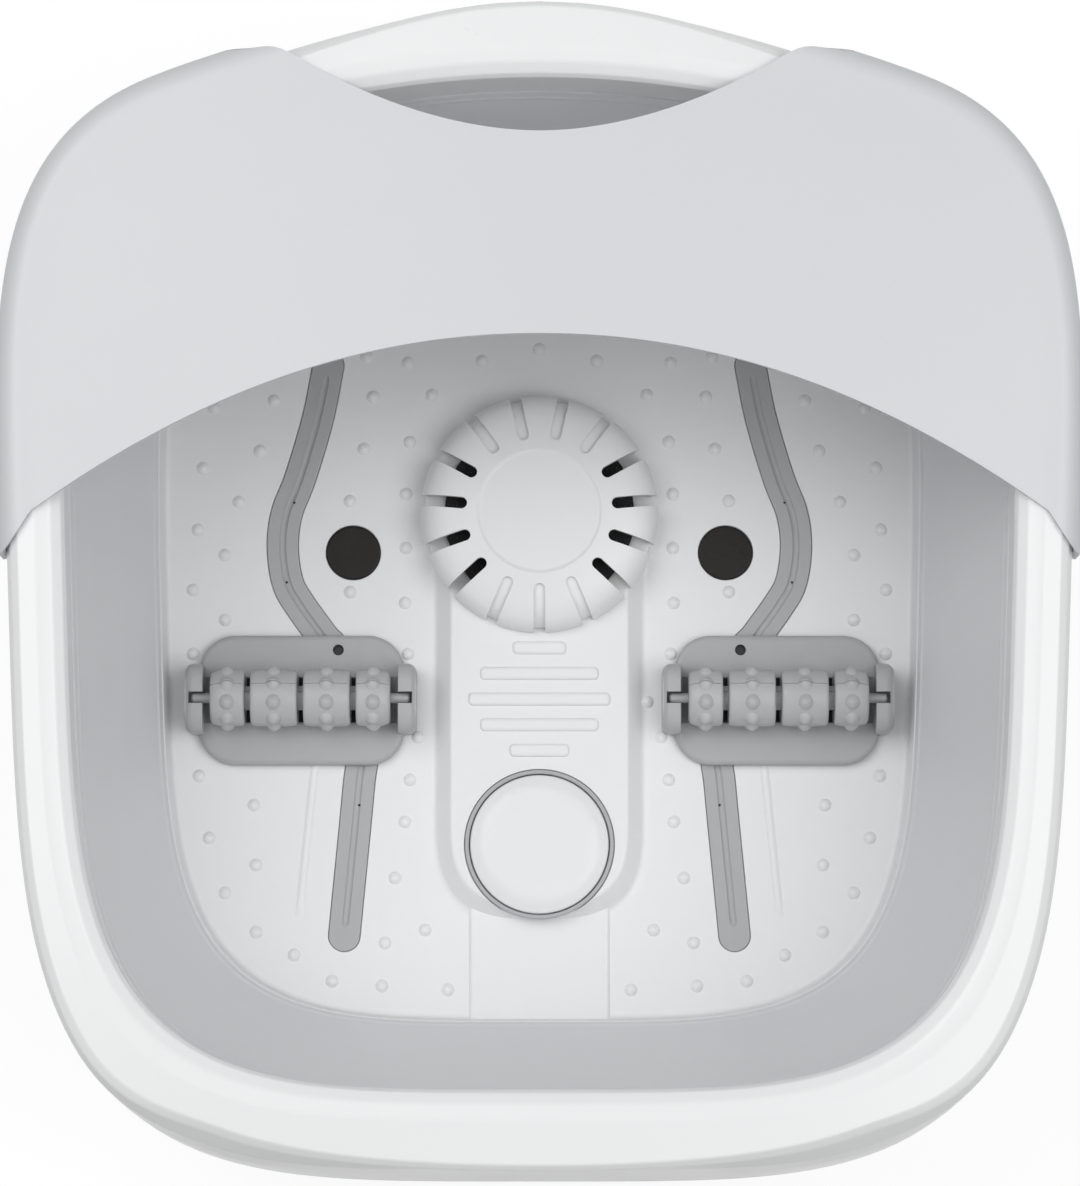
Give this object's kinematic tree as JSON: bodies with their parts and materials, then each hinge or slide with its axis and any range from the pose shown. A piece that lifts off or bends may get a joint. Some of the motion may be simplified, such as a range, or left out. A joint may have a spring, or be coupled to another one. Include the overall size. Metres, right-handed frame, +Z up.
{
  "type": "collapsible foot spa",
  "caption": "Folding foot bath: a rigid base and rim joined by a soft grey wall, with massage rollers, air strips, a slotted dome, a foot button and a splash guard.",
  "frame": {"origin": "on the floor under the middle of the tub's outline, at the underside of the feet", "axes": "+X to the user's right, +Y to the back, towards the splash guard, +Z up"},
  "size_m": [0.4082, 0.448, 0.2223],
  "materials": {
    "shell_white": "smooth white injection-moulded shell with a soft sheen",
    "guard_grey": "smooth pale grey moulded sheet with a satin sheen",
    "wall_grey": "soft matt grey elastomer that folds",
    "fittings_grey": "satin mid grey plastic",
    "disc_black": "near-black satin disc",
    "filter_black": "dark fine mesh behind the dome's slots",
    "rubber_grey": "matt non-slip rubber",
    "plain_steel": "plain steel",
    "inner_black": "plain dark plastic out of sight",
    "board_green": "green circuit board"
  },
  "bodies": {
    "base": {"base_shell": "shell_white", "bottom_cover": "shell_white", "basin_floor": "shell_white", "dome_cover": "shell_white", "vibration_mount": "shell_white", "bellows": "wall_grey", "button_seal": "wall_grey", "bubble_strip_left": "fittings_grey", "bubble_strip_right": "fittings_grey", "roller_cradle_left": "fittings_grey", "roller_cradle_right": "fittings_grey", "lead_terminal": "fittings_grey", "magnet_disc_left": "disc_black", "magnet_disc_right": "disc_black", "dome_filter": "filter_black", "foot_left_back": "rubber_grey", "foot_left_front": "rubber_grey", "foot_right_back": "rubber_grey", "foot_right_front": "rubber_grey", "cable_gland": "rubber_grey", "screw_left_back": "plain_steel", "screw_left_middle": "plain_steel", "screw_left_front": "plain_steel", "screw_right_back": "plain_steel", "screw_right_middle": "plain_steel", "screw_right_front": "plain_steel", "heating_element": "plain_steel", "button_spring": "plain_steel", "blower_motor": "plain_steel", "vibration_motor": "plain_steel", "blower_housing": "inner_black", "blower_lid": "inner_black", "air_hose_left": "inner_black", "air_hose_right": "inner_black", "thermostat": "inner_black", "button_switch": "inner_black", "power_block": "inner_black", "inner_mains_lead": "inner_black", "control_board": "board_green"},
    "rim": {"rim_frame": "shell_white"},
    "guard": {"splash_guard": "guard_grey"},
    "button": {"foot_button": "shell_white"},
    "left_roller_axle": {"roller_axle_left": "fittings_grey"},
    "right_roller_axle": {"roller_axle_right": "fittings_grey"},
    "left_roller": {"roller_front_shell_left": "fittings_grey", "roller_rear_shell_left": "fittings_grey"},
    "right_roller": {"roller_front_shell_right": "fittings_grey", "roller_rear_shell_right": "fittings_grey"},
    "impeller": {"blower_impeller": "inner_black"},
    "weight": {"vibration_weight": "plain_steel"}
  },
  "joints": [
    {"name": "rim_collapse", "type": "slide", "parent": "base", "child": "rim", "axis": [0, 0, 1], "range_m": [-0.08, 0], "deforming": ["bellows"]},
    {"name": "guard_lift", "type": "slide", "parent": "rim", "child": "guard", "axis": [0, 0, 1], "range_m": [0, 0.08]},
    {"name": "button_press", "type": "slide", "parent": "base", "child": "button", "axis": [0, 0, 1], "range_m": [-0.0025, 0], "stiffness_N_per_m": 600, "springref_m": 0.004, "deforming": ["button_spring"]},
    {"name": "left_roller_lift", "type": "slide", "parent": "base", "child": "left_roller_axle", "axis": [0, 0, 1], "range_m": [0, 0.03]},
    {"name": "left_roller_spin", "type": "hinge", "parent": "left_roller_axle", "child": "left_roller", "pos_m": [-0.0945, -0.0345, 0.0781], "axis": [1, 0, 0], "continuous": true},
    {"name": "right_roller_lift", "type": "slide", "parent": "base", "child": "right_roller_axle", "axis": [0, 0, 1], "range_m": [0, 0.03]},
    {"name": "right_roller_spin", "type": "hinge", "parent": "right_roller_axle", "child": "right_roller", "pos_m": [0.0945, -0.0345, 0.0781], "axis": [1, 0, 0], "continuous": true},
    {"name": "blower_spin", "type": "hinge", "parent": "base", "child": "impeller", "pos_m": [-0.075, 0.085, 0.012], "axis": [0, 0, 1], "continuous": true},
    {"name": "vibration_spin", "type": "hinge", "parent": "base", "child": "weight", "pos_m": [0, -0.0345, 0.04], "axis": [1, 0, 0], "continuous": true}
  ]
}
